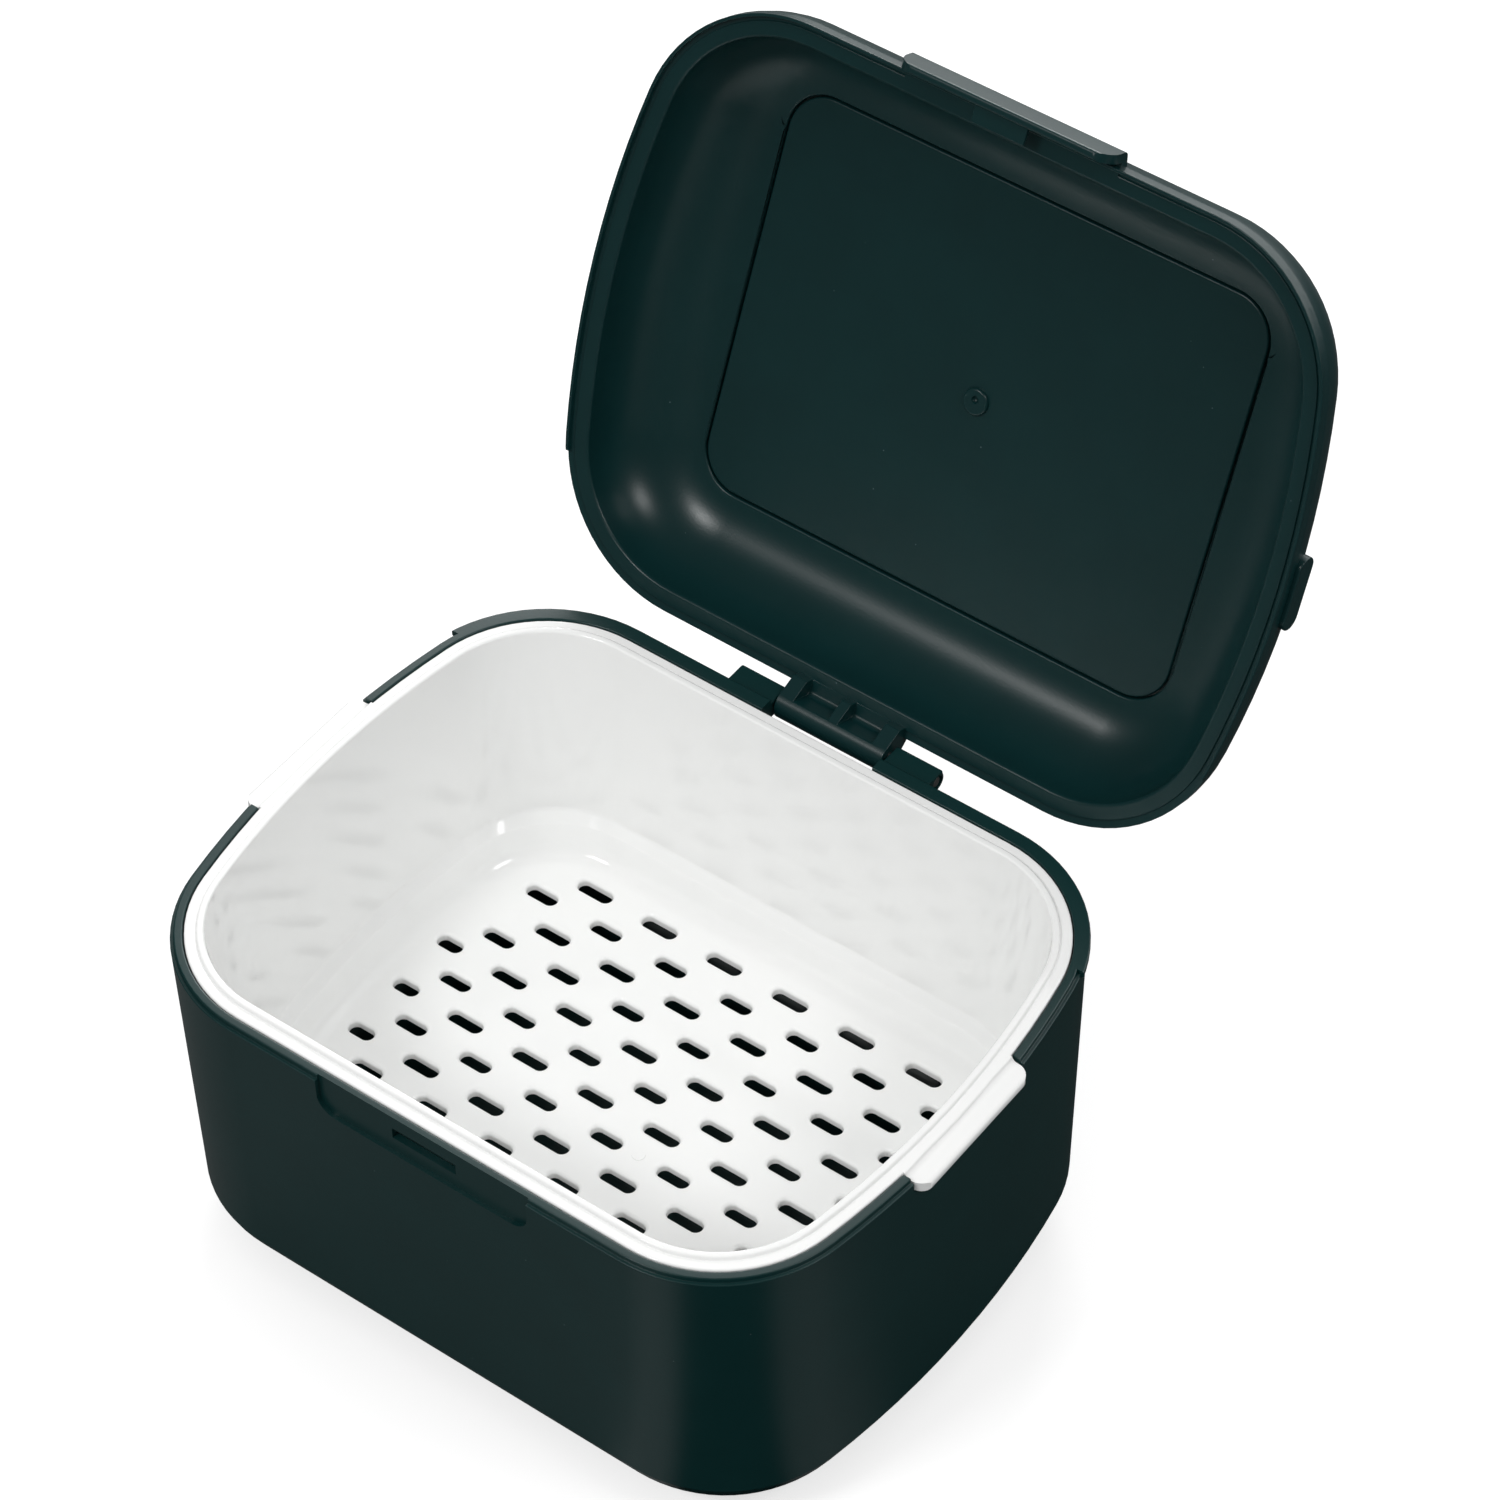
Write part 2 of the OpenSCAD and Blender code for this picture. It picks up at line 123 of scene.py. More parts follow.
def extrude(step):
    bpy.ops.mesh.extrude_region_move(TRANSFORM_OT_translate={"value": Vector(step) * MM})


def draw_line(points):
    for a, b in zip(points, points[1:]):
        extrude(Vector(b) - Vector(a))


def spin(angle, x, y, steps):
    """Turns the selected end of a sweep clockwise round an upright axis."""
    bpy.ops.mesh.spin(
        steps=steps, angle=math.radians(angle), center=(x * MM, y * MM, 0), axis=(0, 0, 1)
    )


def close_mesh(piece):
    """Merges doubles, closes what is open and turns all faces outwards."""
    bpy.ops.mesh.select_all(action="SELECT")
    bpy.ops.mesh.remove_doubles(threshold=MERGE)
    bpy.ops.mesh.fill_holes(sides=0)
    bpy.ops.mesh.select_all(action="SELECT")
    bpy.ops.mesh.normals_make_consistent(inside=False)
    bpy.ops.object.mode_set(mode="OBJECT")
    return piece


def modify(piece, kind, **settings):
    """Adds a modifier of a kind with its settings and applies it."""
    only(piece)
    modifier = piece.modifiers.new(kind, kind)
    for name, value in settings.items():
        setattr(modifier, name, value)
    bpy.ops.object.modifier_apply(modifier=modifier.name)
    return piece


def cut(piece, tool, operation="DIFFERENCE"):
    """Cuts a piece with a tool, which is used up."""
    modify(piece, "BOOLEAN", object=tool, operation=operation, solver="EXACT")
    bpy.data.objects.remove(tool)
    return piece


def weld(piece, tool):
    return cut(piece, tool, "UNION")


def round_edges(piece, width, segments=3, sharper_than=35):
    return modify(
        piece,
        "BEVEL",
        width=width * MM,
        segments=segments,
        limit_method="ANGLE",
        angle_limit=math.radians(sharper_than),
    )


def corner_centre(inset, corner):
    """Centre of the outline's corner, and the angle at which it meets the bowed end."""
    y = HALF_D - inset - corner
    x = END_X + math.sqrt((END_R - inset - corner) ** 2 - y**2)
    return x, y, math.degrees(math.atan2(y, x - END_X))


def take_round(x, y, meet):
    """Takes the selected line along the straight, the corner and half the bowed end."""
    extrude((x, 0, 0))
    spin(90 - meet, x, y, CORNER_STEPS)
    spin(meet, END_X, 0, END_STEPS)
    bpy.ops.object.mode_set(mode="OBJECT")


def mirror_quarter(piece):
    """Mirrors a quarter of the case both ways and closes the mesh."""
    modify(piece, "MIRROR", use_axis=(True, True, False), merge_threshold=MERGE)
    bpy.ops.object.mode_set(mode="EDIT")
    return close_mesh(piece)


def sweep(name, section, closed=False):
    """Takes an (inset, height) section round the case."""
    points = [(0, HALF_D - inset, z) for inset, z in section]
    if closed:
        points.append(points[0])
    piece = start_line(name, points[0])
    draw_line(points)
    bpy.ops.mesh.select_all(action="SELECT")
    if closed:
        bpy.ops.mesh.remove_doubles(threshold=MERGE)
    take_round(*corner_centre(0, CORNER_R))
    return mirror_quarter(piece)


def keep_side(piece, y, behind):
    """Cuts a piece through at y and keeps what lies behind it, or before it."""
    only(piece)
    bpy.ops.object.mode_set(mode="EDIT")
    bpy.ops.mesh.select_all(action="SELECT")
    bpy.ops.mesh.bisect(
        plane_co=(0, y * MM, 0),
        plane_no=(0, 1, 0),
        use_fill=True,
        clear_inner=behind,
        clear_outer=not behind,
    )
    return close_mesh(piece)


def block(name, low, high):
    """A squared block between two corners."""
    low, high = Vector(low) * MM, Vector(high) * MM
    bpy.ops.object.select_all(action="DESELECT")
    bpy.ops.mesh.primitive_cube_add(size=1, location=(low + high) / 2, scale=high - low)
    return named(name)


def round_these(piece, width, segments, wanted):
    """Rounds the edges whose two ends, in mm, pass the test."""
    only(piece)
    clear_selection(piece)
    places = [vertex.co / MM for vertex in piece.data.vertices]
    for edge in piece.data.edges:
        edge.select = wanted(*(places[v] for v in edge.vertices))
    bpy.context.tool_settings.mesh_select_mode = (False, True, False)
    bpy.ops.object.mode_set(mode="EDIT")
    bpy.ops.mesh.bevel(offset=width * MM, segments=segments, affect="EDGES")
    bpy.ops.object.mode_set(mode="OBJECT")
    bpy.context.tool_settings.mesh_select_mode = (True, False, False)


def prism(name, points, step):
    """A closed line of points, filled and drawn out by a step."""
    piece = start_line(name, points[0])
    draw_line([*points, points[0]])
    bpy.ops.mesh.select_all(action="SELECT")
    bpy.ops.mesh.remove_doubles(threshold=MERGE)
    bpy.ops.mesh.edge_face_add()
    extrude(step)
    return close_mesh(piece)


def bar(name, section, x0, x1):
    """A bar along X with a (y, z) section."""
    return prism(name, [(x0, y, z) for y, z in section], (x1 - x0, 0, 0))


def rod(name, radius, x0, x1, sides=48):
    """A round rod along X on the hinge axis."""
    bpy.ops.object.select_all(action="DESELECT")
    bpy.ops.mesh.primitive_cylinder_add(
        vertices=sides,
        radius=radius * MM,
        depth=(x1 - x0) * MM,
        location=((x0 + x1) / 2 * MM, PIN_Y * MM, PIN_Z * MM),
        rotation=(0, math.pi / 2, 0),
    )
    return named(name)


def smooth(piece, creases=(), sharper_than=32):
    """Smooth faces, crisp edges at the given heights, flat faces kept flat."""
    only(piece)
    bpy.ops.object.shade_smooth_by_angle(angle=math.radians(sharper_than))
    places = [vertex.co / MM for vertex in piece.data.vertices]
    for edge in piece.data.edges:
        ends = [places[v].z for v in edge.vertices]
        if any(all(abs(end - z) < NEAR for end in ends) for z in creases):
            edge.use_edge_sharp = True
    modify(piece, "WEIGHTED_NORMAL", keep_sharp=True)


# the section runs up the outside, over the stepped rim and down the inside
box_section = arc(FOOT_IN, FOOT_R, FOOT_R, 270, CREASE, 12)
box_section += rounded(
    [
        (*box_section[-1], 0),
        (WALL_IN, LEDGE_Z, 0.12),
        (STEP_IN, LEDGE_Z, 0.1),
        (STEP_IN, BOX_H, 0.18),
        (INNER_IN, BOX_H, 0.2),
        (2.714, INNER_FOOT_TOP, 0),
    ]
)[1:]
box_section += arc(FOOT_IN, FOOT_R, FOOT_R - WALL_T, CREASE, 270, 12)[1:]
box = sweep("dark_box", box_section)
bead = [(1.4, 47.2, 0), (0.3, 48.2, 0), (0, 48.5, 0.15), (0, BOX_H, 0.22), (1.4, BOX_H, 0)]
weld(box, keep_side(sweep("bead", rounded(bead), closed=True), BEAD_FROM, behind=True))

lug_section = arc(PIN_Y, PIN_Z, LUG_R, 270, 392, 14)
lug_section += rounded(
    [(LUG_BACK, 48.3, 0), (LUG_BACK, LEDGE_Z, 0.3), (LUG_FRONT, LEDGE_Z, 0)]
)
lug_section.append((LUG_FRONT, PIN_Z - LUG_R))
for side in (-1, 1):
    lug = bar("lug", lug_section, *sorted((side * LUG_X, side * LUG_END)))
    weld(box, round_edges(lug, 0.22))

cut(box, block("knuckle_notch", (-LUG_X, 35.6, 44.7), (LUG_X, 42.5, PAST)))
finger_y = FINGER_HALF + FINGER_GAP
cut(box, block("finger_notch", (-PAST, -finger_y, FINGER_Z), (PAST, finger_y, PAST)))
recess_x = SNAP_HALF + SNAP_GAP
recess = block("recess", (-recess_x, -45, 43.4), (recess_x, -38.45, 55))
round_these(recess, SNAP_R, 10, lambda a, b: max(a.z, b.z) < 44 and abs(a.y - b.y) > 1)
cut(box, recess)
cut(box, block("tooth_slot", (-SLOT_HALF, -42, 45.525), (SLOT_HALF, -35, 47.225)))
cut(box, rod("bore", PIN_R, -BORE_END, BORE_END))
for side in (-1, 1):
    ends = sorted((side * BORE_MOUTH_X, side * BORE_END))
    cut(box, rod("bore_mouth", BORE_MOUTH_R, *ends))
smooth(box, creases=(FOOT_TOP, INNER_FOOT_TOP))


def colour(code):
    """An sRGB hex value as linear colour."""
    parts = [int(code[i : i + 2], 16) / 255 for i in (1, 3, 5)]
    return (*(c / 12.92 if c <= 0.04045 else ((c + 0.055) / 1.055) ** 2.4 for c in parts), 1)


def node(tree, kind, settings=None, **links):
    """Adds a node: settings by name, and inputs by name or number, as a value or a socket."""
    new = tree.nodes.new(kind)
    for name, value in (settings or {}).items():
        setattr(new, name, value)
    for name, value in links.items():
        key = int(name[1:]) if name[1:].isdigit() else name.replace("_", " ")
        if isinstance(value, bpy.types.NodeSocket):
            tree.links.new(value, new.inputs[key])
        else:
            new.inputs[key].default_value = value
    return new


def new_material(name):
    """A material with an empty node tree, and that tree."""
    material = bpy.data.materials.new(name)
    material.use_nodes = True
    material.node_tree.nodes.clear()
    return material, material.node_tree


def satin_polypropylene(name, light, dark):
    """Dark moulded polypropylene: slight clouding, fine grain, a few pale specks of dust."""
    material, tree = new_material(name)
    place = node(tree, "ShaderNodeTexCoord").outputs["Object"]
    clouds = node(tree, "ShaderNodeTexNoise", Vector=place, Scale=110.0, Detail=3.0)
    tint = node(
        tree,
        "ShaderNodeMix",
        {"data_type": "RGBA"},
        Factor=clouds.outputs["Fac"],
        i6=colour(dark),
        i7=colour(light),
    )
    # dust specks of about 0.18 mm, in one 2.5 mm cell out of seven
    dust = node(tree, "ShaderNodeTexVoronoi", Vector=place, Scale=400.0, Randomness=1.0)
    speck = node(
        tree,
        "ShaderNodeMath",
        {"operation": "LESS_THAN"},
        i0=dust.outputs["Distance"],
        i1=0.035,
    )
    cell = node(tree, "ShaderNodeSeparateColor", Color=dust.outputs["Color"])
    rare = node(
        tree, "ShaderNodeMath", {"operation": "GREATER_THAN"}, i0=cell.outputs["Red"], i1=0.86
    )
    both = node(
        tree,
        "ShaderNodeMath",
        {"operation": "MULTIPLY"},
        i0=speck.outputs[0],
        i1=rare.outputs[0],
    )
    dusty = node(
        tree,
        "ShaderNodeMix",
        {"data_type": "RGBA"},
        Factor=both.outputs[0],
        i6=tint.outputs[2],
        i7=colour("#5C6E70"),
    )
    # spark texture: grains of about 0.12 mm, drawn at 0.3 mm so that they show
    grain = node(tree, "ShaderNodeTexNoise", Vector=place, Scale=3300.0, Detail=2.0)
    waves = node(tree, "ShaderNodeTexNoise", Vector=place, Scale=60.0, Detail=1.0)
    height = node(
        tree,
        "ShaderNodeMath",
        {"operation": "MULTIPLY_ADD"},
        i0=waves.outputs["Fac"],
        i1=1.5,
        i2=grain.outputs["Fac"],
    )
    bump = node(
        tree, "ShaderNodeBump", Height=height.outputs[0], Strength=0.12, Distance=0.00006
    )
    rough = node(
        tree, "ShaderNodeMapRange", Value=grain.outputs["Fac"], To_Min=0.27, To_Max=0.35
    )
    surface = node(
        tree,
        "ShaderNodeBsdfPrincipled",
        Base_Color=dusty.outputs[2],
        Roughness=rough.outputs["Result"],
        IOR=1.49,
        Normal=bump.outputs["Normal"],
    )
    node(tree, "ShaderNodeOutputMaterial", Surface=surface.outputs[0])
    return material


def coat(piece, material):
    piece.data.materials.clear()
    piece.data.materials.append(material)


# moulded against a fine spark texture, which gives it a satin face and soft highlights
coat(box, satin_polypropylene("satin_teal_polypropylene", "#0C3232", "#0A2C2C"))
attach(box, "box")
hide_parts("box_shell")

# ---------------------------------------------------------------------------------------
# The hinge pin. A cut length of drawn stainless wire, pushed in from one end until it lies
# just inside the face of the lug, so that only its cropped, slightly domed end shows.
PIN_HALF = 15.0

pin = rod("hinge_wire", PIN_R, -PIN_HALF, PIN_HALF, sides=32)
round_edges(pin, 0.35, 5, sharper_than=60)
smooth(pin)


def drawn_steel(name, light, dark):
    """Drawn stainless wire: fine lines along X, about 0.05 mm apart, in tint and height."""
    material, tree = new_material(name)
    place = node(tree, "ShaderNodeTexCoord").outputs["Object"]
    stretch = node(tree, "ShaderNodeMapping", Vector=place, Scale=(400, 20000, 20000))
    lines = node(tree, "ShaderNodeTexNoise", Vector=stretch.outputs[0], Scale=1.0, Detail=2.0)
    tint = node(
        tree,
        "ShaderNodeMix",
        {"data_type": "RGBA"},
        Factor=lines.outputs["Fac"],
        i6=colour(dark),
        i7=colour(light),
    )
    bump = node(
        tree, "ShaderNodeBump", Height=lines.outputs["Fac"], Strength=0.2, Distance=0.00002
    )
    surface = node(
        tree,
        "ShaderNodeBsdfPrincipled",
        Base_Color=tint.outputs[2],
        Metallic=1.0,
        Roughness=0.3,
        Normal=bump.outputs["Normal"],
    )
    node(tree, "ShaderNodeOutputMaterial", Surface=surface.outputs[0])
    return material


# drawn through a die, which leaves it bright with a fine grain along its length
coat(pin, drawn_steel("drawn_stainless", "#D2D0CE", "#B4B2B0"))
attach(pin, "box")
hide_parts("hinge_pin")

# ---------------------------------------------------------------------------------------
# The strainer basket. One white moulding that hangs in the box's mouth by its flange and
# two finger tabs. The bowl narrows to a ridge, and the slotted floor is sunk below that.
BASKET_T = 1.2
MOUTH_IN, LIP_Z = 4.5, 49.75
FLOOR_IN, FLOOR_Z, FLOOR_R = 12.1, 16.1, 12.7
FLANGE_IN, FLANGE_Z = 2.1, 47.7
FINGER_REACH, FINGER_ROOT = 50.55, 46.6
ROWS, ROW_PITCH, SLOT_PITCH, TO_BACK = 12, 4.38, 10.16, 0.75
LONG, SHORT, LAST, SLOT_W = 5.1, 4.5, 3.6, 1.9
SLOT_ROUND, FLOOR_MARGIN = 0.5, 1.1


def bowl_corner(inset):
    """Corner radius: the flange's follows the outline, the bowl's eases to the floor's."""
    if inset <= MOUTH_IN:
        return CORNER_R - inset
    share = (inset - MOUTH_IN) / (FLOOR_IN - MOUTH_IN)
    return (CORNER_R - MOUTH_IN) * (1 - share) + FLOOR_R * share


def quarter_line(inset, z, corner):
    """A quarter of the outline at one inset and height, as a piece of its own."""
    piece = start_line("level", (0, HALF_D - inset, z))
    take_round(*corner_centre(inset, corner))
    return piece


def loft(name, levels):
    """Bridges level to level, mirrors the quarter and closes the two ends."""
    piece = quarter_line(*levels[0])
    piece.name = piece.data.name = name
    size = len(piece.data.vertices)
    for level in levels[1:]:
        line = quarter_line(*level)
        only(piece)
        line.select_set(True)
        bpy.ops.object.join()
        clear_selection(piece)
        for vertex in piece.data.vertices[-2 * size :]:
            vertex.select = True
        bpy.ops.object.mode_set(mode="EDIT")
        bpy.ops.mesh.bridge_edge_loops()
        bpy.ops.object.mode_set(mode="OBJECT")
    return mirror_quarter(piece)


# (inset, height, rounding) from the middle of the floor out to under the flange
inside = rounded(
    [
        (12.8, FLOOR_Z, 0),
        (10.3, FLOOR_Z, 2.6),
        (8.9, 20.1, 0.5),
        (7.6, 21.4, 1.0),
        (MOUTH_IN, LIP_Z, 0.3),
        (3.6, LIP_Z, 0.3),
        (3.52, 49.22, 0.12),
        (3.2, BOX_H, 0.2),
        (FLANGE_IN, BOX_H, 0.28),
        (FLANGE_IN, FLANGE_Z, 0.2),
        (3.39, FLANGE_Z, 0),
    ],
    steps=5,
)
# below the flange, the outside follows the bowl's inside at the wall's thickness
bowl = [p for p in inside if p[1] < 30 and p[0] > 5]
levels = [(inset, z, bowl_corner(inset)) for inset, z in inside]
for inset, z in reversed(bowl):
    levels.append((inset - BASKET_T, z - BASKET_T, bowl_corner(inset) + BASKET_T))
basket = loft("white_basket", levels)


def finger_tab(side):
    """A tab that lies in the end's notch and runs up to the flange in a small hollow."""
    profile = rounded(
        [
            (FINGER_ROOT, 47.2, 0),
            (FINGER_REACH, 47.2, 0.5),
            (FINGER_REACH, 48.6, 0.6),
            (48.0, 48.6, 0.7),
            (47.6, BOX_H, 0.25),
            (FINGER_ROOT, BOX_H, 0),
        ],
        steps=5,
    )
    points = [(side * x, -FINGER_HALF, z) for x, z in profile]
    piece = prism("finger_tab", points, (0, 2 * FINGER_HALF, 0))
    low, high = sorted((side * 45, side * FINGER_REACH))
    ends = block("tab_ends", (low, -FINGER_HALF, 46), (high, FINGER_HALF, 50))
    round_these(
        ends, 2.0, 8, lambda a, b: min(abs(a.x), abs(b.x)) > 50 and abs(a.z - b.z) > 1
    )
    return cut(piece, ends, "INTERSECT")


for side in (-1, 1):
    weld(basket, finger_tab(side))


def slot_cutter(length):
    """A slot with round ends and a rounded upper edge, at the middle of the floor."""
    radius, z = SLOT_W / 2 + SLOT_ROUND, FLOOR_Z + 0.3
    bpy.ops.object.select_all(action="DESELECT")
    # turned by half a side, so that no vertex lies between the two ends
    bpy.ops.mesh.primitive_circle_add(
        vertices=20,
        radius=radius * MM,
        fill_type="NGON",
        location=(0, 0, z * MM),
        rotation=(0, 0, math.radians(9)),
    )
    piece = named("slot_cutter")
    bpy.ops.object.mode_set(mode="EDIT")
    edge = arc(radius, FLOOR_Z - SLOT_ROUND, SLOT_ROUND, 90, 180, 5)
    for new_radius, new_z in [*edge, (SLOT_W / 2, FLOOR_Z - 2.5)]:
        extrude((0, 0, new_z - z))
        share = new_radius / radius
        bpy.ops.transform.resize(value=(share, share, 1), center_override=(0, 0, 0))
        radius, z = new_radius, new_z
    bpy.ops.object.mode_set(mode="OBJECT")
    for side in (-1, 1):
        clear_selection(piece)
        for vertex in piece.data.vertices:
            vertex.select = vertex.co.x * side > 0
        bpy.ops.object.mode_set(mode="EDIT")
        bpy.ops.transform.translate(value=(side * (length - SLOT_W) / 2 * MM, 0, 0))
        bpy.ops.object.mode_set(mode="OBJECT")
    bpy.ops.object.mode_set(mode="EDIT")
    return close_mesh(piece)


def floor_reach(y):
    """Half the length of the flat floor at y."""
    over = max(0, abs(y) - (HALF_D - FLOOR_IN - FLOOR_R))
    return HALF_W - FLOOR_IN - FLOOR_R + math.sqrt(max(0, FLOOR_R**2 - over**2))


def disc(name, radius, place, depth):
    """A short upright cylinder round a point."""
    bpy.ops.object.select_all(action="DESELECT")
    bpy.ops.mesh.primitive_cylinder_add(
        vertices=48, radius=radius * MM, depth=depth * MM, location=Vector(place) * MM
    )
    return named(name)


# every other row is offset by half a pitch and has longer slots, and where a whole slot
# no longer fits at its end, a short one does
places = []
for row in range(ROWS):
    y = ROW_PITCH * (row - (ROWS - 1) / 2) + TO_BACK
    odd = row % 2
    length = LONG if odd else SHORT
    reach = floor_reach(abs(y) + SLOT_W / 2) - FLOOR_MARGIN
    x = SLOT_PITCH / 2 if odd else 0
    while x + length / 2 < reach:
        places += [(x, y, length)] if x == 0 else [(x, y, length), (-x, y, length)]
        x += SLOT_PITCH
    if odd and x - length / 2 + LAST < reach:
        x += (LAST - length) / 2
        places += [(x, y, LAST), (-x, y, LAST)]

cutters = []
for length in (LONG, SHORT, LAST):
    first = slot_cutter(length)
    for x, y, this_length in places:
        if this_length == length:
            only(first)
            bpy.ops.object.duplicate(linked=False)
            bpy.ops.transform.translate(value=(x * MM, y * MM, 0))
            cutters.append(bpy.context.object)
    bpy.data.objects.remove(first)
only(cutters[0])
for cutter in cutters:
    cutter.select_set(True)
bpy.ops.object.join()
bpy.ops.object.transform_apply(location=True, rotation=True, scale=True)
cut(basket, cutters[0])
# the low disc where the melt came in
weld(basket, disc("gate_mark", 0.85, (4.84, -5.74, FLOOR_Z), 0.16))
smooth(basket)


def gloss_polypropylene(name, light, dark):
    """White moulded polypropylene: an even tint, a soft gloss and faint flow waves."""
    material, tree = new_material(name)
    place = node(tree, "ShaderNodeTexCoord").outputs["Object"]
    clouds = node(tree, "ShaderNodeTexNoise", Vector=place, Scale=45.0, Detail=2.0)
    tint = node(
        tree,
        "ShaderNodeMix",
        {"data_type": "RGBA"},
        Factor=clouds.outputs["Fac"],
        i6=colour(dark),
        i7=colour(light),
    )
    # flow waves of about 4 mm
    waves = node(tree, "ShaderNodeTexNoise", Vector=place, Scale=260.0, Detail=2.0)
    bump = node(
        tree, "ShaderNodeBump", Height=waves.outputs["Fac"], Strength=0.05, Distance=0.0003
    )
    rough = node(
        tree, "ShaderNodeMapRange", Value=waves.outputs["Fac"], To_Min=0.07, To_Max=0.11
    )
    surface = node(
        tree,
        "ShaderNodeBsdfPrincipled",
        Base_Color=tint.outputs[2],
        Roughness=rough.outputs["Result"],
        IOR=1.49,
        Normal=bump.outputs["Normal"],
    )
    node(tree, "ShaderNodeOutputMaterial", Surface=surface.outputs[0])
    return material


# moulded against a polished tool, so it is smoother than the case
coat(basket, gloss_polypropylene("white_polypropylene", "#FAFAF9", "#F6F7F6"))
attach(basket, "box")
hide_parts("strainer_basket")

# ---------------------------------------------------------------------------------------
# The lid. One dark moulding with a domed top, a cove round its hollow, a thin lip that
# laps the box's ledge, a snap tab in front and a knuckle with two pockets behind. It is
# shaped as it lies when shut, and then swung open about the pin.
LID_Z, CEILING_Z, TOP_Z = 49.45, 60.3, 62.4
DOME_R, COVE_R, RIM_IN = 12.9, 10.2, 3.0
LIP_IN, LIP_TOP, LIP_END, LIP_FROM = 0.45, 50.4, 48.85, 25.5
TAB_TOP, TAB_END, TAB_IN, TAB_OUT = 51.05, 46.0, -38.05, -41.5
TOOTH_HALF = 3.7
PAD_X, PAD_T, PAD_HALF = 49, 1.55, 4.8
KNUCKLE_R, KNUCKLE_HALF, PIN_GAP = 2.1, 8, 0.05
PANEL_X, PANEL_FRONT, PANEL_BACK, PANEL_R = 34.4, 27.4, 26.2, 5.5
PANEL_T, POCKET_GAP = 1, 0.3
OPEN = 114

lid_section = arc(DOME_R, TOP_Z - DOME_R, DOME_R, 90, 180, 14)
lid_section += rounded(
    [(0, LID_Z, 0.12), (RIM_IN, LID_Z, 0.4), (RIM_IN, 50.1, 0)], steps=4
)
lid_section += arc(RIM_IN + COVE_R, CEILING_Z - COVE_R, COVE_R, 180, 90, 14)[1:]
lid = sweep("dark_lid", lid_section)
lip = rounded(
    [(0, LIP_TOP, 0), (LIP_IN, LIP_TOP, 0), (LIP_IN, LIP_END, 0.1), (0, LIP_END, 0.12)],
    steps=3,
)
weld(lid, keep_side(sweep("lip", lip, closed=True), LIP_FROM, behind=False))

tab_section = rounded(
    [
        (TAB_OUT, TAB_END, 0.45),
        (-40.4, TAB_END, 0.35),
        (-40.2, LID_Z, 0),
        (TAB_IN, LID_Z, 0),
        (TAB_IN, TAB_TOP, 0),
        (-39.4, TAB_TOP, 0),
        (TAB_OUT, 50.25, 0.9),
    ],
    steps=4,
)
tab = bar("snap_tab", tab_section, -SNAP_HALF, SNAP_HALF)
apron = block("tab_outline", (-SNAP_HALF, -45, TAB_END), (SNAP_HALF, -35, PAST))
round_these(apron, SNAP_R, 10, lambda a, b: max(a.z, b.z) < 47 and abs(a.y - b.y) > 1)
cut(tab, apron, "INTERSECT")
weld(lid, round_edges(tab, 0.2, sharper_than=50))
tooth = [(-40.6, 46.6), (-38.1, 46.5), (-38.1, 46.8), (-40.6, 47.3)]
weld(lid, round_edges(bar("tooth", tooth, -TOOTH_HALF, TOOTH_HALF), 0.12))

for side in (-1, 1):
    x = side * PAD_X
    pad = block("side_pad", (x - PAD_T, -PAD_HALF, 50.65), (x + PAD_T, PAD_HALF, 53.85))
    round_these(pad, 1.55, 8, lambda a, b: abs(a.x - b.x) > 1)
    weld(lid, round_edges(pad, 0.15, sharper_than=50))

knuckle_section = [(38.2, 48.1), (38.2, 50.2), (39.35, 51.1)]
knuckle_section += arc(PIN_Y, PIN_Z, KNUCKLE_R, 58, -138, 24)
knuckle = bar("knuckle", knuckle_section, -KNUCKLE_HALF, KNUCKLE_HALF)
for side in (-1, 1):
    inner, outer = sorted((side * 0.7, side * 5.9))
    pocket = block("pocket", (inner, 37, 44), (outer, 40.3, 49.4))
    round_these(pocket, 0.75, 6, lambda a, b: min(a.y, b.y) > 40 and min(a.z, b.z) > 49)
    cut(knuckle, pocket)
weld(lid, round_edges(knuckle, 0.28))
cut(lid, rod("bore", PIN_R + PIN_GAP, -9, 9))


def panel_plate(name, grow, z0, z1):
    """The panel's outline, grown a little, as a plate between two heights."""
    piece = block(
        name,
        (-PANEL_X - grow, -PANEL_FRONT - grow, z0),
        (PANEL_X + grow, PANEL_BACK + grow, z1),
    )
    round_these(piece, PANEL_R + grow, 12, lambda a, b: abs(a.z - b.z) > 0.1)
    return piece


cut(lid, panel_plate("panel_pocket", POCKET_GAP, 50, CEILING_Z + PANEL_T))


def on_pocket_edge(place):
    """Whether a point lies on the pocket's outline, up at the ceiling."""
    across = abs(place.x) - (PANEL_X - PANEL_R)
    along = abs(place.y - (PANEL_BACK - PANEL_FRONT) / 2)
    along -= (PANEL_BACK + PANEL_FRONT) / 2 - PANEL_R
    out = math.hypot(max(across, 0), max(along, 0)) + min(max(across, along), 0)
    on_outline = abs(out - PANEL_R - POCKET_GAP) < 0.03
    return 60 < place.z < CEILING_Z + 0.5 and on_outline


round_these(lid, 0.22, 3, lambda a, b: on_pocket_edge(a) and on_pocket_edge(b))


def swing_open(piece):
    """Swings a finished piece from shut to open about the pin."""
    pin_place = Matrix.Translation((0, PIN_Y * MM, PIN_Z * MM))
    turn = Matrix.Rotation(math.radians(-OPEN), 4, "X")
    piece.matrix_world = pin_place @ turn @ pin_place.inverted() @ piece.matrix_world
    only(piece)
    bpy.ops.object.transform_apply(location=True, rotation=True, scale=True)


smooth(lid)
swing_open(lid)
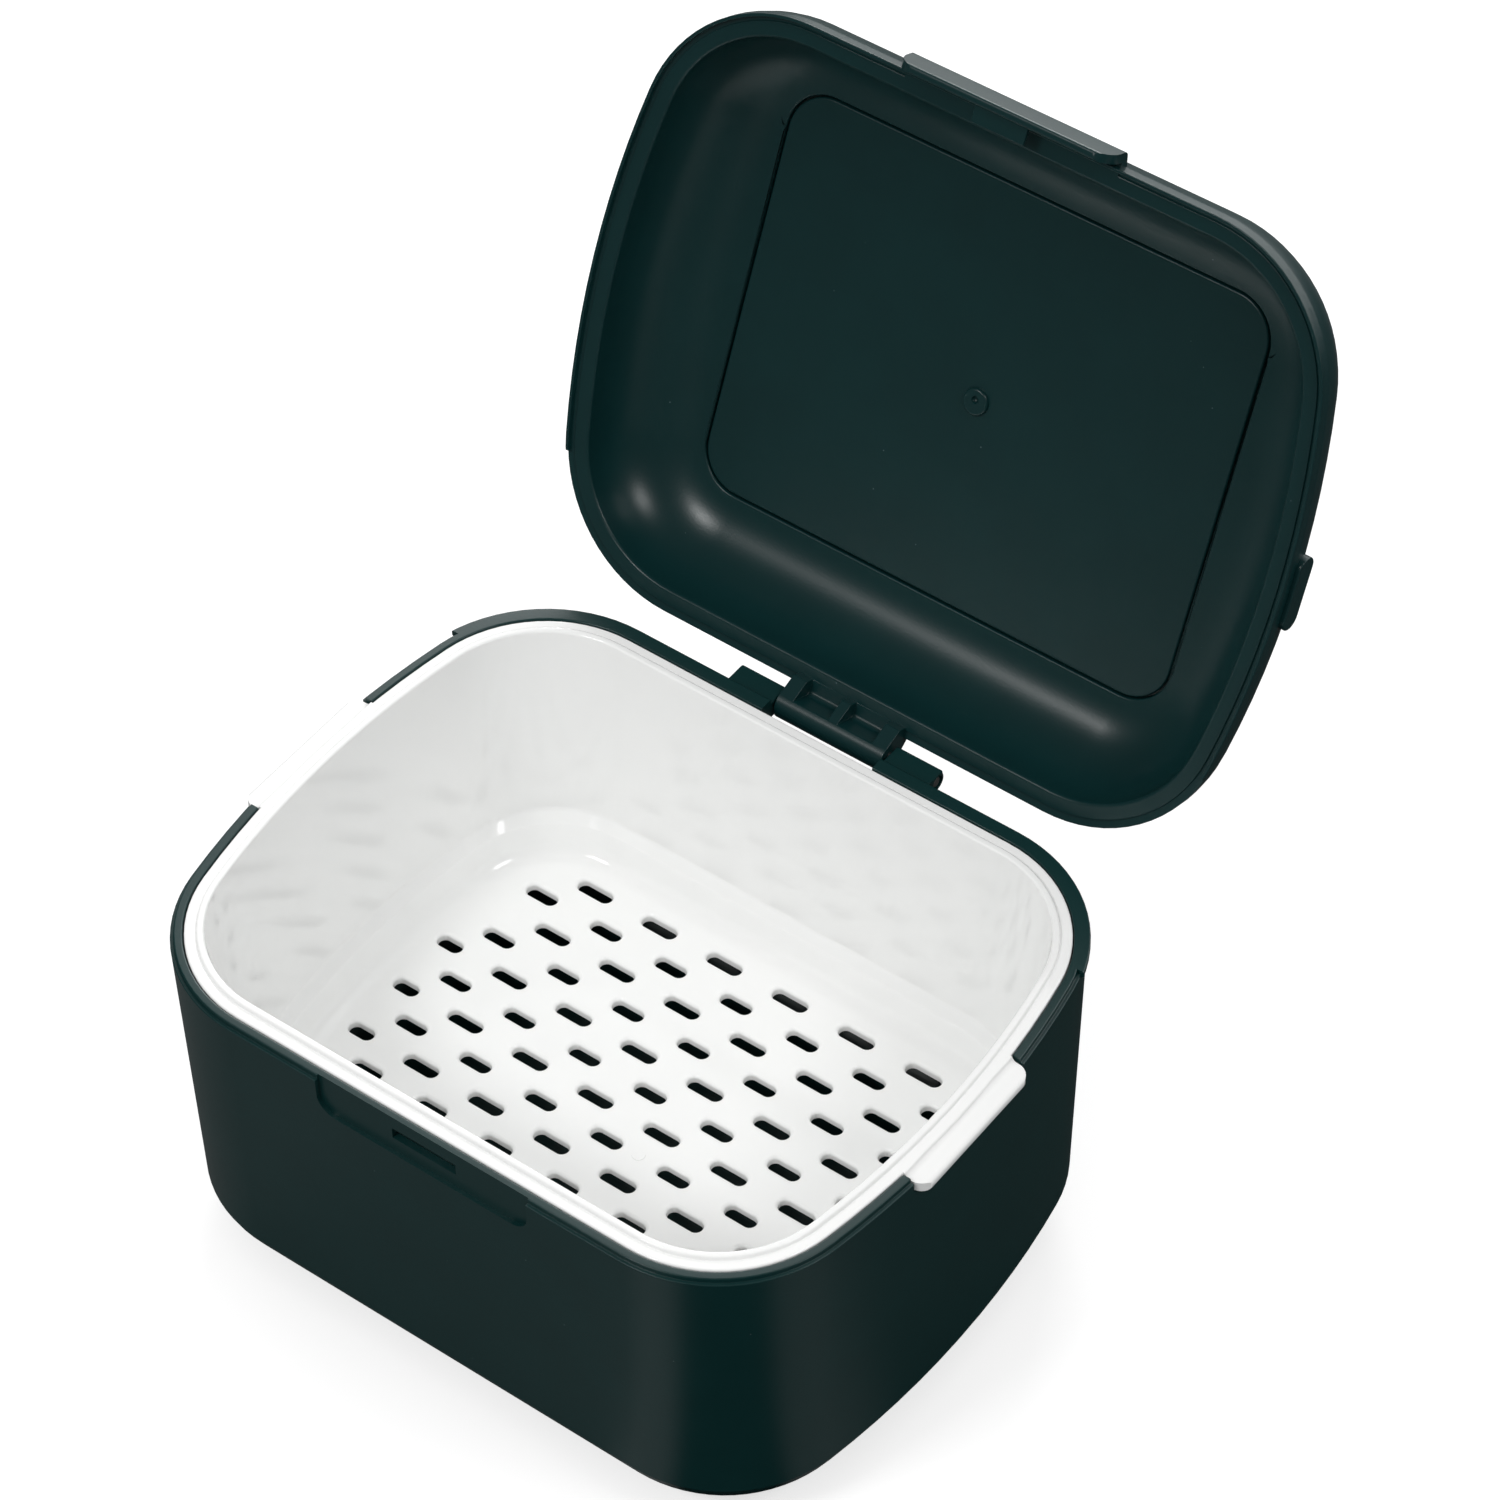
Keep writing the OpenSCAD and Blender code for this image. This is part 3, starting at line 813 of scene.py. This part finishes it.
# the box's plastic and texture, a shade darker: painted shade, standing in for the shade in the
# lid's hollow
shaded_lid_finish = satin_polypropylene("satin_lid_polypropylene_painted_shade", "#0B3031", "#092A2B")
coat(lid, shaded_lid_finish)
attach(lid, "lid")
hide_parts("lid_shell")

# ---------------------------------------------------------------------------------------
# The lid's panel. A thin plate of the same plastic, pushed into the pocket in the lid's
# ceiling with an open groove round it. The disc at its middle is where the melt came in.
panel = panel_plate("lid_plate", 0, CEILING_Z, CEILING_Z + PANEL_T)
round_these(panel, 0.25, 3, lambda a, b: max(a.z, b.z) < CEILING_Z + NEAR)
gate = disc("gate", 1.75, (0, 0, CEILING_Z), 1.0)
round_these(gate, 0.3, 3, lambda a, b: max(a.z, b.z) < CEILING_Z)
weld(panel, gate)
bpy.ops.object.select_all(action="DESELECT")
bpy.ops.mesh.primitive_uv_sphere_add(
    segments=24, ring_count=12, radius=0.5 * MM, location=(0, -0.3 * MM, 59.8 * MM)
)
cut(panel, named("dimple"))
smooth(panel)
swing_open(panel)
coat(panel, shaded_lid_finish)
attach(panel, "lid")
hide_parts("lid_panel")

# ---------------------------------------------------------------------------------------
# The studio. A flat floor of white paper, a softbox in front to the left, one at the right
# and one behind, and a camera above the case's front right.
bpy.ops.object.select_all(action="DESELECT")
bpy.ops.mesh.primitive_plane_add(size=6)
floor = bpy.context.object
floor.name = "paper_floor"
material, tree = new_material("white_paper")
rays = node(tree, "ShaderNodeLightPath")
# white to the camera and through clear things, with the case's shadow kept
white = node(tree, "ShaderNodeBsdfDiffuse", Color=(0.55, 0.55, 0.55, 1))
glow = node(tree, "ShaderNodeEmission", Color=(1, 1, 1, 1), Strength=0.62)
bright = node(tree, "ShaderNodeAddShader", i0=white.outputs[0], i1=glow.outputs[0])
# grey for the light it throws back. Painted reflection: to reflected rays only, the paper is
# painted in bands round the front right corner, grey, pale, black, pale and dark by their
# angle, which the dark walls mirror
BANDS_X, BANDS_Y = 28.5, -19.85
place = node(tree, "ShaderNodeTexCoord").outputs["Object"]
round_corner = node(
    tree,
    "ShaderNodeMapping",
    Vector=place,
    Rotation=(0, 0, math.radians(90)),
    Location=(BANDS_Y * MM, -BANDS_X * MM, 0),
)
angle = node(
    tree, "ShaderNodeTexGradient", {"gradient_type": "RADIAL"}, Vector=round_corner.outputs[0]
)
# painted reflection bands, seen only by reflected rays; the camera sees plain white paper here
reflection_bands = node(tree, "ShaderNodeValToRGB", Fac=angle.outputs["Fac"])
stops = [(-62, 0.12), (-21, 0.13), (-10, 0.27), (6, 0.27), (16, 0.006), (61, 0.006)]
stops += [(71, 0.17), (88, 0.17), (105, 0.11), (118, 0.04)]
while len(reflection_bands.color_ramp.elements) < len(stops):
    reflection_bands.color_ramp.elements.new(1.0)
for stop, (degrees, grey) in zip(reflection_bands.color_ramp.elements, stops):
    stop.position = degrees / 360 + 0.5
    stop.color = (grey, grey, grey, 1)
mirrored = node(tree, "ShaderNodeBsdfDiffuse", Color=reflection_bands.outputs["Color"])
paper = node(tree, "ShaderNodeBsdfDiffuse", Color=(0.22, 0.23, 0.235, 1))
thrown = node(
    tree,
    "ShaderNodeMixShader",
    Fac=rays.outputs["Is Glossy Ray"],
    i1=paper.outputs[0],
    i2=mirrored.outputs[0],
)
seen = node(
    tree,
    "ShaderNodeMath",
    {"operation": "MAXIMUM"},
    i0=rays.outputs["Is Camera Ray"],
    i1=rays.outputs["Is Transmission Ray"],
)
mixed = node(
    tree, "ShaderNodeMixShader", Fac=seen.outputs[0], i1=thrown.outputs[0], i2=bright.outputs[0]
)
node(tree, "ShaderNodeOutputMaterial", Surface=mixed.outputs[0])
coat(floor, material)

world = bpy.data.worlds.new("studio")
bpy.context.scene.world = world
world.use_nodes = True
world.node_tree.nodes.clear()
tree = world.node_tree
rays = node(tree, "ShaderNodeLightPath")
seen = node(
    tree,
    "ShaderNodeMath",
    {"operation": "MAXIMUM"},
    i0=rays.outputs["Is Camera Ray"],
    i1=rays.outputs["Is Transmission Ray"],
)
direction = node(tree, "ShaderNodeTexCoord").outputs["Generated"]
parts = node(tree, "ShaderNodeSeparateXYZ", Vector=direction)
# soft light from overhead, falling off towards the horizon
overhead = node(
    tree, "ShaderNodeMapRange", Value=parts.outputs["Z"], To_Min=0.40, To_Max=0.76
)
# what shiny faces see: a dark room in front and a bright white wall behind
behind = node(
    tree,
    "ShaderNodeMapRange",
    {"interpolation_type": "SMOOTHSTEP"},
    Value=parts.outputs["Y"],
    From_Min=0.3,
    From_Max=0.6,
    To_Min=0.03,
    To_Max=1.8,
)
mirrored = node(
    tree,
    "ShaderNodeMix",
    {"data_type": "RGBA"},
    Factor=rays.outputs["Is Glossy Ray"],
    i6=overhead.outputs["Result"],
    i7=behind.outputs["Result"],
)
tone = node(
    tree,
    "ShaderNodeMix",
    {"data_type": "RGBA"},
    Factor=seen.outputs[0],
    i6=mirrored.outputs[2],
    i7=(1, 1, 1, 1),
)
air = node(tree, "ShaderNodeBackground", Color=tone.outputs[2], Strength=1.0)
node(tree, "ShaderNodeOutputWorld", Surface=air.outputs[0])


def softbox(name, turn, height, distance, size, power):
    """An area lamp aimed at a point 50 mm above the middle of the floor.

    turn is its angle from the front and height its angle above the floor, in degrees;
    distance and size are in metres and power is in watts.
    """
    turn, height = math.radians(turn), math.radians(height)
    flat = math.cos(height)
    way = Vector((math.sin(turn) * flat, -math.cos(turn) * flat, math.sin(height)))
    bpy.ops.object.select_all(action="DESELECT")
    bpy.ops.object.light_add(type="AREA", location=way * distance + Vector((0, 0, 0.05)))
    lamp = bpy.context.object
    lamp.name = name
    lamp.data.shape = "RECTANGLE"
    lamp.data.size, lamp.data.size_y = size
    lamp.data.energy = power
    lamp.rotation_euler = way.to_track_quat("Z", "Y").to_euler()


softbox("front_softbox", -18, 49, 1.2, (0.28, 0.2), 3.9)
softbox("right_softbox", 96, 50, 1.2, (0.3, 0.3), 2.4)
softbox("back_softbox", -150, 32, 1.2, (0.4, 0.3), 4.0)

# the camera, solved from the outlines of the rim, the foot and the open lid
AZIMUTH, ELEVATION, ROLL = (math.radians(a) for a in (37.46, 47.35, -1.13))
CAMERA_PLACE = Vector((277.23, -337.48, 553.73)) * MM
away = Vector(
    (
        math.sin(AZIMUTH) * math.cos(ELEVATION),
        -math.cos(AZIMUTH) * math.cos(ELEVATION),
        math.sin(ELEVATION),
    )
)
right = (-away).cross(Vector((0, 0, 1))).normalized()
up = right.cross(-away)
right, up = (
    right * math.cos(ROLL) + up * math.sin(ROLL),
    up * math.cos(ROLL) - right * math.sin(ROLL),
)
facing = Matrix((right, up, away)).transposed().to_4x4()
bpy.ops.object.select_all(action="DESELECT")
bpy.ops.object.camera_add()
camera = bpy.context.object
camera.matrix_world = Matrix.Translation(CAMERA_PLACE) @ facing
camera.data.lens = 136.1
camera.data.sensor_width = 36
camera.data.clip_start = 0.05
bpy.context.scene.camera = camera
bpy.context.scene.view_settings.view_transform = "Standard"
